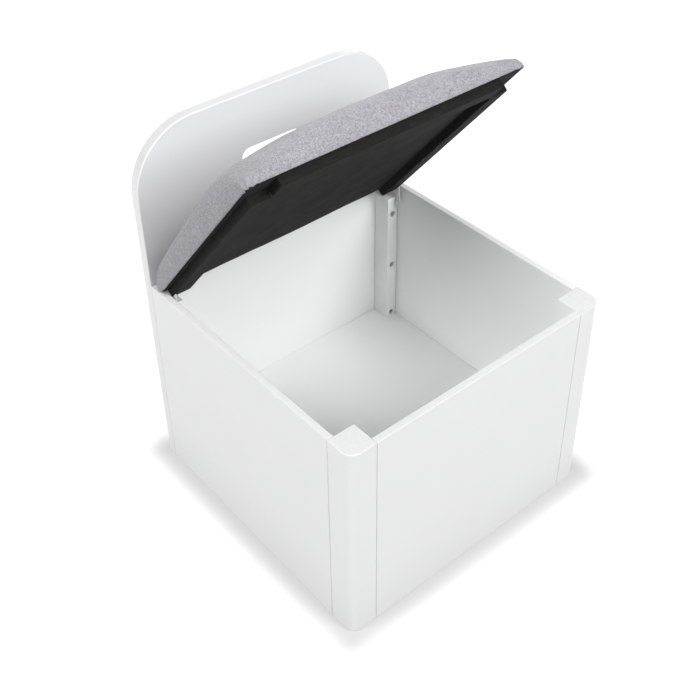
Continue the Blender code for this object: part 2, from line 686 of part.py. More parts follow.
def main():
    clear_scene()
    white_paint = make_material("white_paint", (0.83, 0.83, 0.84), 0.38)
    bare_board = make_material("bare_board", (0.55, 0.43, 0.30), 0.7)
    black_wrap = make_material("black_wrap", (0.026, 0.026, 0.025), 0.9)
    grey_weave = make_material("grey_weave", (0.40, 0.39, 0.43), 0.9)
    dust_cloth = make_material("dust_cloth", (0.022, 0.022, 0.021), 0.92)
    foam = make_material("foam", (0.86, 0.83, 0.70), 0.95)
    zinc = make_material("zinc", (0.66, 0.66, 0.67), 0.35, 1.0)
    steel_white = make_material("steel_white", (0.80, 0.80, 0.81), 0.4)
    brass = make_material("brass", (0.72, 0.55, 0.27), 0.35, 1.0)
    nylon = make_material("nylon", (0.85, 0.85, 0.84), 0.5)

    make_back_panel(white_paint)
    make_front_panel(white_paint)
    make_floor_panel(white_paint)
    axis = make_lid_axis()
    make_lid_board(axis, bare_board)
    make_lid_foam(axis, foam)
    make_lid_cover(axis, grey_weave)
    make_front_rail(axis, black_wrap)
    make_dust_cover(axis, dust_cloth)
    for side in (LEFT, RIGHT):
        make_side_panel(side, white_paint)
        make_front_post(side, white_paint)
        make_rear_post(side, white_paint)
        make_post_bolts(side, zinc)
        make_insert_nuts(side, brass)
        make_side_rail(side, axis, black_wrap)
        make_hinge_arm(side, axis, steel_white)
        make_arm_screws(side, axis, zinc)
        make_hinge_pin(side, steel_white)
        make_hinge_washer(side, nylon)


main()
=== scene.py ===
"""Looks for the wooden toy box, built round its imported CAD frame.

Units are metres, +Z is up. Pieces of the lid are made as they lie with the lid shut, in the
"shut" frame, and OPEN carries them to the rest pose, where the lid stands open.
"""
import json
from math import cos, pi, radians, sin, tanh

import bpy
import numpy as np
from mathutils import Matrix, Vector, noise


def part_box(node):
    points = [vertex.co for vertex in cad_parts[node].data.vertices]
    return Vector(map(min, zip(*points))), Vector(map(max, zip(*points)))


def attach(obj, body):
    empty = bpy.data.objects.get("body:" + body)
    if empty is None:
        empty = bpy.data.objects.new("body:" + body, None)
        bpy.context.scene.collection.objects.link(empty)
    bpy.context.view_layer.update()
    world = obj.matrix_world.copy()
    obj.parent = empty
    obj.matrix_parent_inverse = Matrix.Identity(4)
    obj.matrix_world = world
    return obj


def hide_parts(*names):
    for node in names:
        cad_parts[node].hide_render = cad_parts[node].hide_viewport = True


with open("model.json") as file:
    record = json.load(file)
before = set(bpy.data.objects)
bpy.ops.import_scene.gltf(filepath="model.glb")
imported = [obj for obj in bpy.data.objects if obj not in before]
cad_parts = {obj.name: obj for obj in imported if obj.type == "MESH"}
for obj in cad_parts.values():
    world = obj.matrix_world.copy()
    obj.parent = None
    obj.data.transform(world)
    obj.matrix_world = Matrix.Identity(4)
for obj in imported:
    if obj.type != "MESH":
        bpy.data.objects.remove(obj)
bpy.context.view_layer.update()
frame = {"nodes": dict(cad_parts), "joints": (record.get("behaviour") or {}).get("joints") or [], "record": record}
record = frame["record"]
cad = frame["nodes"]

# ---------------------------------------------------------------- places read from the frame

hinge = frame["joints"][0]
pivot = Vector(hinge["pos_m"])
shut_angle = radians(hinge["range_deg"][0])
OPEN = (
    Matrix.Translation(pivot)
    @ Matrix.Rotation(-shut_angle, 4, Vector(hinge["axis"]))
    @ Matrix.Translation(-pivot)
)
SHUT = OPEN.inverted()


def shut_box(node):
    """Lowest and highest corners of a lid piece in the shut frame."""
    points = np.array([SHUT @ vertex.co for vertex in cad[node].data.vertices])
    return points.min(0), points.max(0)


board_low, board_high = shut_box("lid_board")
side_rail_low, side_rail_high = shut_box("lid_right_rail")
front_rail_low, front_rail_high = shut_box("lid_front_rail")
cover_bottom = shut_box("lid_cover")[0][2]
back_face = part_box("back_panel")[0].y
panel_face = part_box("right_side_panel")[0].x
rim_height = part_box("front_panel")[1].z

# ---------------------------------------------------------------- shader helpers


class Shader:
    """Adds nodes to a material's tree and returns their sockets."""

    def __init__(self, name):
        self.material = bpy.data.materials.new(name)
        self.material.use_nodes = True
        self.tree = self.material.node_tree
        self.surface = self.tree.nodes["Principled BSDF"]

    def node(self, kind, inputs=None, output=0, **settings):
        made = self.tree.nodes.new(kind)
        for key, value in settings.items():
            setattr(made, key, value)
        for key, value in (inputs or {}).items():
            self.plug(made.inputs[key], value)
        return made.outputs[output]

    def plug(self, socket, value):
        if isinstance(value, bpy.types.NodeSocket):
            self.tree.links.new(value, socket)
        else:
            socket.default_value = value

    def math(self, operation, *values):
        inputs = dict(enumerate(values))
        return self.node("ShaderNodeMath", inputs, operation=operation)

    def vector_math(self, operation, *values, output=0):
        inputs = dict(enumerate(values))
        return self.node("ShaderNodeVectorMath", inputs, output, operation=operation)

    def vector(self, x, y, z):
        return self.node("ShaderNodeCombineXYZ", {0: x, 1: y, 2: z})

    def split(self, vector):
        made = self.tree.nodes.new("ShaderNodeSeparateXYZ")
        self.plug(made.inputs[0], vector)
        return list(made.outputs)

    def stretch(self, where, scale):
        return self.node("ShaderNodeMapping", {0: where, 3: scale})

    def noise(self, where, scale, detail=2.0, roughness=0.5):
        inputs = {"Vector": where, "Scale": scale, "Detail": detail, "Roughness": roughness}
        return self.node("ShaderNodeTexNoise", inputs)

    def spread(self, value, low, high, to_low=0.0, to_high=1.0, **settings):
        inputs = {0: value, 1: low, 2: high, 3: to_low, 4: to_high}
        return self.node("ShaderNodeMapRange", inputs, **settings)

    def vary(self, value, to_low=0.0, to_high=1.0):
        """Spreads a noise over a range. Nearly all of a noise lies between 0.3 and 0.7."""
        return self.spread(value, 0.3, 0.7, to_low, to_high)

    def mix(self, share, a, b):
        inputs = {0: share, 6: a, 7: b}
        return self.node("ShaderNodeMix", inputs, output=2, data_type="RGBA")

    def between(self, share, a, b):
        """A number between two numbers."""
        return self.node("ShaderNodeMix", {0: share, 2: a, 3: b})

    def shaded(self, colour, shade):
        """A colour times a number."""
        inputs = {0: 1.0, 6: colour, 7: self.vector(shade, shade, shade)}
        return self.node("ShaderNodeMix", inputs, output=2, data_type="RGBA",
                         blend_type="MULTIPLY")

    def bump(self, height, distance, strength=1.0, normal=None):
        inputs = {"Height": height, "Distance": distance, "Strength": strength}
        if normal:
            inputs["Normal"] = normal
        return self.node("ShaderNodeBump", inputs)

    def place(self):
        return self.node("ShaderNodeTexCoord", output="Object")

    def finish(self, **inputs):
        for key, value in inputs.items():
            self.plug(self.surface.inputs[key.replace("_", " ")], value)
        return self.material


def opaque(colour, share=1.0):
    return (*(value * share for value in colour), 1.0)


def grey(value):
    return value, value, value, 1.0


# ---------------------------------------------------------------- materials

# The scales are per metre, so that a larger one is finer. Reliefs are in metres.

PAINT_TINTS = (0.972, 0.982, 0.978), (0.988, 1.0, 0.996)     # shares of the paint's white
CLOUD_SCALE, DULL_SCALE, PEEL_SCALE, WAVE_SCALE, TOP_SHADE_MOTTLE_SCALE = 7.0, 38.0, 900.0, 95.0, 160.0
PEEL_SHARE = 0.35                    # fine orange peel, as a share of the slow waves
PAINT_RELIEF, PAINT_RELIEF_STRENGTH = 0.00025, 0.18
EDGE_ROUNDING = 0.0009               # how far paint and sanding soften a panel's edges
# mottle of the painted shade on upward edges, and their extra roughness
EDGE_MOTTLE, EDGE_DULLNESS = 0.02, 0.08
GLOSSIER, DULLER = 0.05, 0.09        # how far its roughness strays below and above the given one
UPWARD = 0.6                         # normal's z from which an edge counts as facing up and takes its full painted shade


def paint_material(name, base, roughness, flat_axis=None, ends_only=False, painted_top_shade=0.81):
    """Satin white paint on board: faint orange peel, soft clouding and a few dull patches.

    flat_axis is the axis a board is thin along, or a post is long along. The board's upward-facing
    edges, or the post's top, are given painted shade: they keep only the given share of the
    faces' white, with a faint mottle, so that they catch less of the lamps' light. They are also
    a little duller.
    """
    s = Shader(name)
    where = s.place()
    dim, bright = (opaque(tint, base) for tint in PAINT_TINTS)
    tint = s.mix(s.vary(s.noise(where, CLOUD_SCALE, 3.0)), dim, bright)
    dull = s.noise(where, DULL_SCALE, 4.0, 0.65)
    gloss = s.spread(dull, 0.3, 0.75, roughness - GLOSSIER, roughness + DULLER)
    if flat_axis is not None:
        # painted shade: edges facing up, or a post's top, are darkened to tone down the light they catch
        normal = s.split(s.node("ShaderNodeTexCoord", output="Normal"))
        on_sides, on_ends = (0.0, 1.0) if ends_only else (1.0, 0.0)
        top_shade_mask = s.spread(s.math("ABSOLUTE", normal[flat_axis]), 0.4, 0.75, on_sides, on_ends)
        top_shade_mask = s.math("MULTIPLY", top_shade_mask, s.spread(normal[2], 0.0, UPWARD))
        mottled_top_shade = s.noise(where, TOP_SHADE_MOTTLE_SCALE, 3.0, 0.6)
        mottled_top_shade = s.vary(mottled_top_shade, painted_top_shade - EDGE_MOTTLE, painted_top_shade + EDGE_MOTTLE)
        tint = s.shaded(tint, s.between(top_shade_mask, 1.0, mottled_top_shade))
        gloss = s.math("MULTIPLY_ADD", top_shade_mask, EDGE_DULLNESS, gloss)
    peel = s.noise(where, PEEL_SCALE, 1.0)
    waves = s.noise(where, WAVE_SCALE, 2.0)
    height = s.math("ADD", s.math("MULTIPLY", peel, PEEL_SHARE), waves)
    rounded = s.node("ShaderNodeBevel", {"Radius": EDGE_ROUNDING}, samples=4)
    normal = s.bump(height, PAINT_RELIEF, PAINT_RELIEF_STRENGTH, rounded)
    return s.finish(Base_Color=tint, Roughness=gloss, Normal=normal)


THREAD_PITCH = 0.0010                # from one thread of the cushion's cloth to the next
THREAD_STEP = 2.37                   # noise units from thread to thread, so that each differs
SLUB_SCALE = 210.0                   # how fast a thread changes along its run
BLOTCH_SCALE, BLOTCH_DARK, BLOTCH_LIGHT = 26.0, 0.96, 1.04
YARN_DARK, YARN_LIGHT = (0.178, 0.172, 0.199), (0.590, 0.582, 0.624)
CROSSING_DIP = 0.45                  # how much of its height a thread loses between crossings
SLUB_THIN, SLUB_THICK = 0.6, 1.25
# share of the yarn's colour left in the hollows between threads: painted shade
VALLEY_PAINTED_SHADE = 0.62
WEAVE_RELIEF, WEAVE_RELIEF_STRENGTH = 0.00035, 0.55


def weave_material(name):
    """Plain-woven heathered cloth. Each thread has its own shade and thickness along its run."""
    s = Shader(name)
    run = s.node("ShaderNodeAttribute", output="Vector", attribute_name="cloth")
    u, v = s.split(run)[:2]
    across, along = (s.math("DIVIDE", value, THREAD_PITCH) for value in (u, v))
    warp, weft = (s.math("FLOOR", value) for value in (across, along))

    def roundness(value):
        centred = s.math("MULTIPLY_ADD", s.math("FRACT", value), 2.0, -1.0)
        return s.math("SUBTRACT", 1.0, s.math("MULTIPLY", centred, centred))

    def slubs(x, y, layer):
        return s.noise(s.vector(x, y, layer), 1.0, 3.0, 0.75)

    def thread_height(own_round, other_round, slub):
        dip = s.math("MULTIPLY_ADD", other_round, CROSSING_DIP, 1.0 - CROSSING_DIP)
        thickness = s.spread(slub, 0.25, 0.75, SLUB_THIN, SLUB_THICK)
        return s.math("MULTIPLY", s.math("MULTIPLY", own_round, dip), thickness)

    warp_round, weft_round = roundness(across), roundness(along)
    crossing = s.math("MULTIPLY", s.math("ADD", warp, weft), 0.5)
    over = s.math("MULTIPLY", s.math("FRACT", crossing), 2.0)
    warp_slub = slubs(s.math("MULTIPLY", warp, THREAD_STEP), s.math("MULTIPLY", v, SLUB_SCALE), 0.0)
    weft_slub = slubs(s.math("MULTIPLY", u, SLUB_SCALE), s.math("MULTIPLY", weft, THREAD_STEP), 7.0)
    height = s.between(over, thread_height(weft_round, warp_round, weft_slub),
                       thread_height(warp_round, weft_round, warp_slub))
    slub = s.between(over, weft_slub, warp_slub)
    yarn = s.mix(s.vary(slub), opaque(YARN_DARK), opaque(YARN_LIGHT))
    # painted shade: the yarn is darkened where the threads dip, in the weave's hollows
    painted_valley_shade = s.spread(height, 0.0, 0.5, VALLEY_PAINTED_SHADE, 1.0)
    blotch = s.vary(s.noise(run, BLOTCH_SCALE, 3.0), BLOTCH_DARK, BLOTCH_LIGHT)
    colour = s.shaded(yarn, s.math("MULTIPLY", painted_valley_shade, blotch))
    return s.finish(Base_Color=colour, Roughness=s.vary(slub, 0.95, 0.82),
                    Normal=s.bump(height, WEAVE_RELIEF, WEAVE_RELIEF_STRENGTH),
                    Sheen_Weight=0.25, Sheen_Roughness=0.5, Specular_IOR_Level=0.25)


LINING_DARK, LINING_LIGHT = (0.0065, 0.0065, 0.006), (0.026, 0.026, 0.0245)
DIMPLE_SCALE, FELT_SCALE, LINING_CLOUD_SCALE = 620.0, 1500.0, 30.0
STREAK_SCALES = (90.0, 420.0, 90.0)
LINING_RELIEF, LINING_RELIEF_STRENGTH = 0.0002, 0.6


def lining_material(name):
    """Black non-woven lining: bonded dimples in rows, a felt of fibres between them."""
    s = Shader(name)
    where = s.place()
    dimple = s.node("ShaderNodeTexVoronoi",
                    {"Vector": where, "Scale": DIMPLE_SCALE, "Randomness": 0.25})
    fibre = s.noise(where, FELT_SCALE, 4.0, 0.7)
    streak = s.noise(s.stretch(where, STREAK_SCALES), 1.0, 3.0, 0.6)
    cloud = s.noise(where, LINING_CLOUD_SCALE, 3.0, 0.6)
    felt = s.math("ADD", s.math("MULTIPLY", fibre, 0.6), s.math("MULTIPLY", streak, 0.6))
    felt = s.math("ADD", felt, s.math("MULTIPLY", cloud, 0.5))
    colour = s.mix(s.spread(felt, 0.55, 1.15), opaque(LINING_DARK), opaque(LINING_LIGHT))
    height = s.math("ADD", s.math("MULTIPLY", s.spread(dimple, 0.0, 0.45), 0.6), fibre)
    return s.finish(Base_Color=colour, Roughness=s.vary(cloud, 0.78, 0.92),
                    Normal=s.bump(height, LINING_RELIEF, LINING_RELIEF_STRENGTH),
                    Specular_IOR_Level=0.15)


WEAR_SCALE, SCRATCH_SCALES = 260.0, (900.0, 60.0, 900.0)
WORN_SHADE, WEAR_SHINE, WEAR_DULLNESS = 0.78, 0.06, 0.12
SCRATCH_RELIEF, SCRATCH_RELIEF_STRENGTH = 0.00005, 0.5


def metal_material(name, colour, roughness, metallic=1.0):
    """Plated or painted metal with fine turning marks and handling wear."""
    s = Shader(name)
    where = s.place()
    wear = s.noise(where, WEAR_SCALE, 4.0, 0.7)
    scratch = s.noise(s.stretch(where, SCRATCH_SCALES), 1.0, 2.0)
    tint = s.mix(s.spread(wear, 0.35, 0.75), opaque(colour), opaque(colour, WORN_SHADE))
    gloss = s.vary(wear, roughness - WEAR_SHINE, roughness + WEAR_DULLNESS)
    return s.finish(Base_Color=tint, Roughness=gloss, Metallic=metallic,
                    Normal=s.bump(scratch, SCRATCH_RELIEF, SCRATCH_RELIEF_STRENGTH))


BOARD_DARK, BOARD_LIGHT = (0.36, 0.25, 0.15), (0.55, 0.41, 0.27)
BOARD_FIBRE_SCALE, BOARD_BLOTCH_SCALE, BOARD_FIBRE_SHARE = 1200.0, 60.0, 0.6
BOARD_RELIEF, BOARD_RELIEF_STRENGTH = 0.0001, 0.6


def board_material(name):
    """Bare fibreboard: brown, fine fibres, blotchy."""
    s = Shader(name)
    where = s.place()
    fibre = s.noise(where, BOARD_FIBRE_SCALE, 5.0, 0.75)
    blotch = s.noise(where, BOARD_BLOTCH_SCALE, 3.0)
    mixed = s.math("ADD", s.math("MULTIPLY", fibre, BOARD_FIBRE_SHARE),
                   s.math("MULTIPLY", blotch, 1.0 - BOARD_FIBRE_SHARE))
    colour = s.mix(s.spread(mixed, 0.35, 0.65), opaque(BOARD_DARK), opaque(BOARD_LIGHT))
    return s.finish(Base_Color=colour, Roughness=0.85,
                    Normal=s.bump(fibre, BOARD_RELIEF, BOARD_RELIEF_STRENGTH))


PAINT_WHITE, PAINT_ROUGHNESS = 0.9, 0.36

materials = {
    "white_paint": paint_material("paint.white", PAINT_WHITE, PAINT_ROUGHNESS, 2),
    "grey_weave": weave_material("cloth.grey_weave"),
    "dust_cloth": lining_material("cloth.black_lining"),
    "bare_board": board_material("board.bare"),
    "zinc": metal_material("metal.zinc", (0.62, 0.61, 0.58), 0.32),
    "steel_white": metal_material("metal.white_steel", (0.80, 0.80, 0.81), PAINT_ROUGHNESS, 0.0),
    "brass": metal_material("metal.brass", (0.72, 0.55, 0.27), 0.3),
    "nylon": paint_material("plastic.nylon", 0.82, 0.45),
}
materials["black_wrap"] = materials["dust_cloth"]
materials["foam"] = materials["grey_weave"]

# copies of the paint for each board's lie, so that its upward edges take painted shade; the right panel's take
# less and the back panel's more, to suit how the lamps light them
side_paint = paint_material("paint.white_side", PAINT_WHITE, PAINT_ROUGHNESS, 0)
right_paint_less_shaded = paint_material("paint.white_right_less_shaded", PAINT_WHITE, PAINT_ROUGHNESS, 0, painted_top_shade=0.93)
front_paint = paint_material("paint.white_front", PAINT_WHITE, PAINT_ROUGHNESS, 1)
back_paint_more_shaded = paint_material("paint.white_back_more_shaded", PAINT_WHITE, PAINT_ROUGHNESS, 1, painted_top_shade=0.72)
post_paint = paint_material("paint.white_post", PAINT_WHITE, PAINT_ROUGHNESS, 2, ends_only=True)
painted = {
    "left_side_panel": side_paint,
    "right_side_panel": right_paint_less_shaded,
    "front_panel": front_paint,
    "back_panel": back_paint_more_shaded,
    "front_left_post": post_paint,
    "front_right_post": post_paint,
    "rear_left_post": post_paint,
    "rear_right_post": post_paint,
}

for subpart in record["subparts"]:
    finish = painted.get(subpart["node"], materials[subpart["material_slot"]])
    for holder in cad[subpart["node"]].material_slots:
        holder.material = finish

# ---------------------------------------------------------------- mesh helpers


def add_piece(name, points, faces, material):
    mesh = bpy.data.meshes.new(name)
    mesh.from_pydata([tuple(p) for p in points], [], faces)
    mesh.shade_smooth()
    mesh.materials.append(material)
    piece = bpy.data.objects.new(name, mesh)
    bpy.context.scene.collection.objects.link(piece)
    return piece


def open_out(piece):
    """Carries a finished lid piece from the shut frame to the rest pose."""
    piece.data.transform(OPEN)


def carried(points, matrix):
    turn = np.array(matrix)
    return points @ turn[:3, :3].T + turn[:3, 3]


def coordinates(mesh):
    flat = np.empty(len(mesh.vertices) * 3, np.float32)
    mesh.vertices.foreach_get("co", flat)
    return flat.reshape(-1, 3).astype(float)


def set_coordinates(mesh, points):
    mesh.vertices.foreach_set("co", points.astype(np.float32).ravel())
    mesh.update()


def apply_modifiers(piece):
    graph = bpy.context.evaluated_depsgraph_get()
    evaluated = piece.evaluated_get(graph)
    final = bpy.data.meshes.new_from_object(evaluated, preserve_all_data_layers=True,
                                            depsgraph=graph)
    piece.modifiers.clear()
    old = piece.data
    piece.data = final
    final.name = piece.name
    bpy.data.meshes.remove(old)


def smooth_step(value, low, high):
    t = np.clip((value - low) / (high - low), 0.0, 1.0)
    return t * t * (3.0 - 2.0 * t)


def unit(vectors):
    return vectors / np.maximum(np.linalg.norm(vectors, axis=1), 1e-6)[:, None]


def smooth_rows(rows, count, samples=24):
    """Rows of numbers resampled along a smooth curve through them, evenly by length."""
    rows = np.array(rows)
    fine = []
    for i in range(len(rows) - 1):
        before = rows[max(i - 1, 0)]
        after = rows[min(i + 2, len(rows) - 1)]
        a, b = rows[i], rows[i + 1]
        for t in np.linspace(0.0, 1.0, samples, endpoint=False):
            fine.append(0.5 * (
                2 * a + (b - before) * t
                + (2 * before - 5 * a + 4 * b - after) * t * t
                + (3 * a - before - 3 * b + after) * t ** 3
            ))
    fine = np.array(fine + [rows[-1]])
    steps = np.hypot(np.diff(fine[:, 0]), np.diff(fine[:, 1]))
    length = np.concatenate([[0.0], np.cumsum(steps)])
    wanted = np.linspace(0.0, length[-1], count)
    return np.column_stack([np.interp(wanted, length, column) for column in fine.T])


# ---------------------------------------------------------------- the cushion

HEM_MARGIN = 0.0013                  # from the board's edge to the hem line
HEM_LIFT = 0.0006                    # from the lowest point of the CAD cover to the hem
HEM_HALF_WIDTH = board_high[0] + HEM_MARGIN
HEM_FRONT = board_low[1] - HEM_MARGIN
HEM_REAR = board_high[1] + HEM_MARGIN
HEM_BOTTOM = cover_bottom + HEM_LIFT
HEM_CORNER = 0.008
STRAIGHT_X, STRAIGHT_Y, CORNER_STEPS = 76, 66, 16
CLUSTER = 0.75                       # how far the points of a straight crowd to its ends
CORNER_PER_INSET, CORNER_PER_HEIGHT = 0.45, 0.9

# height over the hem, and stand-out from the hem line at the sides, front and rear
CUSHION_PROFILE = (
    (0.0000, 0.0000, 0.0000, 0.0000),
    (0.0040, 0.0014, 0.0014, 0.0034),
    (0.0110, 0.0021, 0.0024, 0.0064),
    (0.0190, 0.0018, 0.0024, 0.0066),
    (0.0260, 0.0002, 0.0006, 0.0010),
    (0.0325, -0.0035, -0.0035, -0.0095),
    (0.0385, -0.0120, -0.0120, -0.0220),
    (0.0430, -0.0270, -0.0270, -0.0380),
    (0.0462, -0.0500, -0.0500, -0.0600),
    (0.0480, -0.0780, -0.0780, -0.0860),
)
PROFILE_RINGS = 26
# the hem turned in under the board: distance in from the hem line and height, from its raw edge
HEM_FOLD = ((0.0085, 0.0010), (0.0050, 0.0008), (0.0018, 0.0003), (0.0005, -0.0001))
CROWN, CROWN_SQUARENESS = 0.0015, 2.4    # rise of the middle above the profile's last row

FIRM = 0.0125                        # height up to the board's top, the same all round
CORNER_DROP = 0.63                   # share of the height above it lost at a front corner
CORNER_DROP_X, CORNER_DROP_Y = 0.072, 0.037
REAR_DROP, REAR_DROP_START = 0.19, -0.080
REAR_CORNER_DROP, REAR_CORNER_REACH = -0.10, 0.045
DROP_FALLOFF = 1.5

CLOTH_FRAMES, CLOTH_PRESSURE = 20, 3.2
CLOTH_REACH = 0.0035                 # the most that the simulation moves a point
EVENING_PASSES, EVENING_SHARE = 45, 0.6

PLEAT_REACH, PLEAT_SPACING, PLEAT_DEPTH = 0.024, 0.0075, 0.0014
PLEAT_PHASES = (0.4, 2.1, 3.9, 5.2)  # one for each corner, so that no two fold alike
PLEAT_FADE = (0.002, 0.024)          # heights over the hem between which the pleats run out
PLEAT_WANDER, PLEAT_WANDER_RATE = 0.25, 260.0    # how unevenly they follow each other
PLEAT_RIDGE = 0.25                   # what stands out between them, as a share of their depth
PLEAT_SHARPNESS = 1.5
PLEAT_FLANK = (0.93, 1.0)            # shares of the half width that count as a side
HEM_WAVE, HEM_WAVE_HEIGHT = 0.0007, 0.004

DENT_DEPTH, DENT_RATE = 0.0011, 17.0
RIPPLE_DEPTH, RIPPLE_RATE, RIPPLE_SHIFT = 0.0005, 45.0, Vector((5, 3, 1))
DENT_FADE = (0.003, 0.02)            # heights over the hem between which dents set in
DENT_UPWARD = 3.0                    # how much more they point up than out

BACK_GAP, BACK_GIVE = 0.0006, 0.004  # the open cushion's clearance, and how soon it gives way
RIM_GAP, RIM_GIVE = 0.0004, 0.0026
RIM_EDGE = (0.008, 0.001)            # inside a side panel, from where to where the rim bears


def sink(points):
    """Lowers the cushion's top at its corners and towards the rear, as its foam is pulled down."""
    x, y, height = points[:, 0], points[:, 1], points[:, 2] - HEM_BOTTOM
    from_side = np.maximum(HEM_HALF_WIDTH - np.abs(x), 0.0)
    from_front = np.maximum(y - HEM_FRONT, 0.0)
    from_rear = np.maximum(HEM_REAR - y, 0.0)
    front = ((from_side / CORNER_DROP_X) ** DROP_FALLOFF
             + (from_front / CORNER_DROP_Y) ** DROP_FALLOFF)
    rear = ((from_side / REAR_CORNER_REACH) ** DROP_FALLOFF
            + (from_rear / REAR_CORNER_REACH) ** DROP_FALLOFF)
    drop = CORNER_DROP * np.exp(-front) + REAR_CORNER_DROP * np.exp(-rear)
    drop = drop + REAR_DROP * smooth_step(y, REAR_DROP_START, HEM_REAR)
    firm = np.minimum(height, FIRM)
    points = points.copy()
    points[:, 2] = HEM_BOTTOM + firm + (height - firm) * (1.0 - drop)
    return points


def outline(side, front, rear, corner):
    """Points of a rounded rectangle, anticlockwise from the middle of its front right corner.

    Each ring has the same count on each stretch, so that rings join point to point.
    """
    half = HEM_HALF_WIDTH + side
    low, high = HEM_FRONT - front, HEM_REAR + rear
    points, normals = [], []

    def turn(cx, cy, first, last, steps):
        for t in np.linspace(first, last, steps, endpoint=False):
            points.append((cx + corner * cos(t), cy + corner * sin(t)))
            normals.append((cos(t), sin(t)))

    def straight(x0, y0, x1, y1, steps, normal):
        for even in np.linspace(0.0, 1.0, steps, endpoint=False):
            t = even - CLUSTER * sin(2 * pi * even) / (2 * pi)
            points.append((x0 + (x1 - x0) * t, y0 + (y1 - y0) * t))
            normals.append(normal)

    half_turn = CORNER_STEPS // 2
    right, left = half - corner, corner - half
    near, far = low + corner, high - corner
    turn(right, near, -pi / 4, 0.0, half_turn)
    straight(half, near, half, far, STRAIGHT_Y, (1.0, 0.0))
    turn(right, far, 0.0, pi / 2, CORNER_STEPS)
    straight(right, high, left, high, STRAIGHT_X, (0.0, 1.0))
    turn(left, far, pi / 2, pi, CORNER_STEPS)
    straight(-half, far, -half, near, STRAIGHT_Y, (-1.0, 0.0))
    turn(left, near, pi, 3 * pi / 2, CORNER_STEPS)
    straight(left, low, right, low, STRAIGHT_X, (0.0, -1.0))
    turn(right, near, -pi / 2, -pi / 4, half_turn)
    return np.array(points), np.array(normals)


def cushion_rings():
    """Rings from the hem's raw edge to the shoulder, and each point's place on the flat cloth."""
    rings, cloth = [], []
    rows = smooth_rows(CUSHION_PROFILE, PROFILE_RINGS)
    fall = np.concatenate([[0.0], np.cumsum(np.hypot(np.diff(rows[:, 0]), np.diff(rows[:, 1])))])
    fall = fall[-1] - fall
    for row, drop in zip(rows, fall):
        height, side, front, rear = row
        corner = HEM_CORNER + max(0.0, -side) * CORNER_PER_INSET + height * CORNER_PER_HEIGHT
        plan, normal = outline(side, front, rear, corner)
        rings.append(np.column_stack([plan, np.full(len(plan), HEM_BOTTOM + height)]))
        cloth.append(plan + normal * (drop - (side - rows[-1][1])))
    folded = []
    for depth, rise in HEM_FOLD:
        plan, normal = outline(-depth, -depth, -depth, HEM_CORNER - depth)
        folded.append((np.column_stack([plan, np.full(len(plan), HEM_BOTTOM + rise)]),
                       cloth[0] + normal * depth))
    rings = [ring for ring, _ in folded] + rings
    cloth = [run for _, run in folded] + cloth
    return np.array(rings), np.array(cloth)


def coons_patch(ring, columns, rows):
    """Grid of points inside a closed ring whose four sides are given by their step counts."""
    right = ring[:rows + 1]
    far = ring[rows:rows + columns + 1][::-1]
    left = ring[rows + columns:2 * rows + columns + 1][::-1]
    near = np.concatenate([ring[2 * rows + columns:], ring[:1]])
    u = np.linspace(0.0, 1.0, columns + 1)[None, :, None]
    v = np.linspace(0.0, 1.0, rows + 1)[:, None, None]
    ruled = (1 - v) * near[None] + v * far[None] + (1 - u) * left[:, None] + u * right[:, None]
    corners = (
        (1 - u) * (1 - v) * near[0] + u * (1 - v) * near[-1]
        + (1 - u) * v * far[0] + u * v * far[-1]
    )
    return ruled - corners


def make_cushion():
    """The closed pad, and the number of the ring that each of its points lies on."""
    rings, cloth = cushion_rings()
    count = rings.shape[1]
    columns, rows = STRAIGHT_X + CORNER_STEPS, STRAIGHT_Y + CORNER_STEPS
    patch = coons_patch(rings[-1], columns, rows)
    patch_cloth = coons_patch(cloth[-1], columns, rows)
    half_x = np.abs(patch[..., 0]).max()
    middle_y = (patch[..., 1].max() + patch[..., 1].min()) / 2
    half_y = (patch[..., 1].max() - patch[..., 1].min()) / 2
    across = 1 - np.clip(np.abs(patch[..., 0]) / half_x, 0, 1) ** CROWN_SQUARENESS
    along = 1 - np.clip(np.abs(patch[..., 1] - middle_y) / half_y, 0, 1) ** CROWN_SQUARENESS
    patch[..., 2] += CROWN * np.sqrt(across * along)
    inner = patch[1:-1, 1:-1].reshape(-1, 3)
    points = sink(np.concatenate([rings.reshape(-1, 3), inner]))
    run = np.concatenate([cloth.reshape(-1, 2), patch_cloth[1:-1, 1:-1].reshape(-1, 2)])
    faces = []
    for r in range(len(rings) - 1):
        for i in range(count):
            j = (i + 1) % count
            faces.append((r * count + i, r * count + j, (r + 1) * count + j, (r + 1) * count + i))
    last = (len(rings) - 1) * count
    first_inner = len(rings) * count

    def patch_index(row, column):
        if 0 < row < rows and 0 < column < columns:
            return first_inner + (row - 1) * (columns - 1) + column - 1
        if column == columns:
            return last + row
        if row == rows:
            return last + rows + columns - column
        if column == 0:
            return last + 2 * rows + columns - row
        return last + (2 * rows + columns + column) % count

    for row in range(rows):
        for column in range(columns):
            faces.append((
                patch_index(row, column), patch_index(row, column + 1),
                patch_index(row + 1, column + 1), patch_index(row + 1, column),
            ))
    piece = add_piece("lid.cushion", points, faces, materials["grey_weave"])
    attribute = piece.data.attributes.new("cloth", "FLOAT_VECTOR", "POINT")
    flat = np.column_stack([run, np.zeros(len(run))]).astype(np.float32)
    attribute.data.foreach_set("vector", flat.ravel())
    on_rings = np.repeat(np.arange(len(rings)), count)
    return piece, np.concatenate([on_rings, np.full(len(inner), len(rings))])


def even_out(mesh, shift, pinned):
    """Averages each point's shift with its neighbours', so that the cloth has no hard creases."""
    edges = np.empty(len(mesh.edges) * 2, np.int32)
    mesh.edges.foreach_get("vertices", edges)
    a, b = edges.reshape(-1, 2).T
    neighbours = np.bincount(a, minlength=len(shift)) + np.bincount(b, minlength=len(shift))
    for _ in range(EVENING_PASSES):
        total = np.zeros_like(shift)
        np.add.at(total, a, shift[b])
        np.add.at(total, b, shift[a])
        shift = (1 - EVENING_SHARE) * shift + EVENING_SHARE * total / neighbours[:, None]
        shift[pinned] = 0.0
    return shift


